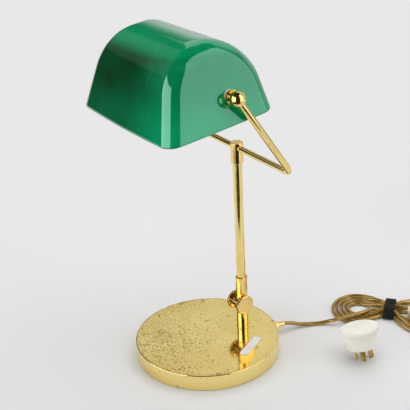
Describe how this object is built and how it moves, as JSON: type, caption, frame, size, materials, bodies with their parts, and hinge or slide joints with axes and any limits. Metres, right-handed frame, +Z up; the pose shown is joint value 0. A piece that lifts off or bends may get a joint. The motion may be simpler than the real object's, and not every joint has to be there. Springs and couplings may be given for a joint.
{
  "type": "bankers lamp",
  "caption": "Brass desk lamp with a round weighted base, a hinged stem, a swinging yoke and a long green glass shade that tips between two ball ends; cord tied in a hank.",
  "frame": {"origin": "centre of the round base on the surface it stands on", "axes": "+Z up, +X along the shade, -Y the side that the shade hangs out to"},
  "size_m": [0.286, 0.4461, 0.4405],
  "materials": {
    "brass_cover": "polished, lacquer worn, spotted with age",
    "brass_tube": "polished brass",
    "brass_turned": "turned and polished brass",
    "iron": "rough cast",
    "felt": "green felt",
    "steel": "plated steel",
    "fibre": "black fibre",
    "gasket": "pale rubber",
    "glass_green": "cased green glass, white inside",
    "glass_bulb": "frosted glass",
    "bulb_metal": "bright",
    "bakelite": "dark moulded",
    "cord_cover": "gold coloured plastic sheath",
    "lead_skin": "plain sheath",
    "strap": "black hook and loop strap",
    "plug_plastic": "cream moulded",
    "switch_plastic": "cream moulded",
    "rocker_plastic": "dark moulded",
    "pin_brass": "dull brass",
    "paper": "blank paper"
  },
  "bodies": {
    "base": {"base_cover": "brass_cover", "base_weight": "iron", "base_pad": "felt", "cord_nipple": "brass_turned", "nipple_nut": "steel", "base_lead": "lead_skin", "blank_tag": "paper", "cord_run": "cord_cover", "cord_switch_base": "switch_plastic", "cord_switch_lid": "switch_plastic", "switch_screws": "steel", "cord_link": "cord_cover", "cord_hank": "cord_cover", "cord_tie": "strap", "cord_tail": "cord_cover", "plug_base": "plug_plastic", "plug_cover": "plug_plastic", "plug_pins": "pin_brass", "plug_screws": "steel"},
    "post": {"post": "brass_tube", "hinge_fork": "brass_turned", "hinge_bolt": "brass_turned", "hinge_washers": "fibre", "foot_nut": "steel", "foot_washer": "steel"},
    "near_knob": {"near_knob": "brass_turned"},
    "arm": {"stem_socket": "brass_turned", "stem_tube": "brass_tube", "top_fitting": "brass_turned", "stem_lead": "lead_skin", "friction_pad": "fibre", "friction_screw": "steel"},
    "yoke": {"yoke_tube": "brass_tube", "ball_left": "brass_turned", "ball_right": "brass_turned", "pivot_studs": "steel", "stud_nuts": "brass_turned", "lampholder": "bakelite", "holder_ring": "bakelite", "bulb_cap": "bulb_metal", "bulb_glass": "glass_bulb"},
    "shade": {"shade_glass": "glass_green", "pivot_collars": "brass_turned", "glass_gaskets": "gasket"},
    "switch_rocker": {"switch_rocker": "rocker_plastic"}
  },
  "joints": [
    {"name": "post_swivel", "type": "hinge", "parent": "base", "child": "post", "pos_m": [0.01147, 0.04969, 0.022], "axis": [0, 0, 1], "range_deg": [-150, 150]},
    {"name": "knob_turn", "type": "hinge", "parent": "post", "child": "near_knob", "pos_m": [0.01147, 0.04669, 0.061], "axis": [1, 0, 0], "range_deg": [-30, 330]},
    {"name": "stem_tilt", "type": "hinge", "parent": "post", "child": "arm", "pos_m": [0.01147, 0.04669, 0.061], "axis": [1, 0, 0], "range_deg": [-30, 30]},
    {"name": "yoke_swing", "type": "hinge", "parent": "arm", "child": "yoke", "pos_m": [0.01147, 0.04969, 0.2795], "axis": [1, 0, 0], "range_deg": [-35, 60]},
    {"name": "shade_tip", "type": "hinge", "parent": "yoke", "child": "shade", "pos_m": [0.01147, -0.02057, 0.38288], "axis": [1, 0, 0], "range_deg": [-60, 60]},
    {"name": "rocker", "type": "hinge", "parent": "base", "child": "switch_rocker", "pos_m": [0.12057, 0.27735, 0.0145], "axis": [-0.6428, 0.766, 0], "range_deg": [-14, 0]}
  ]
}
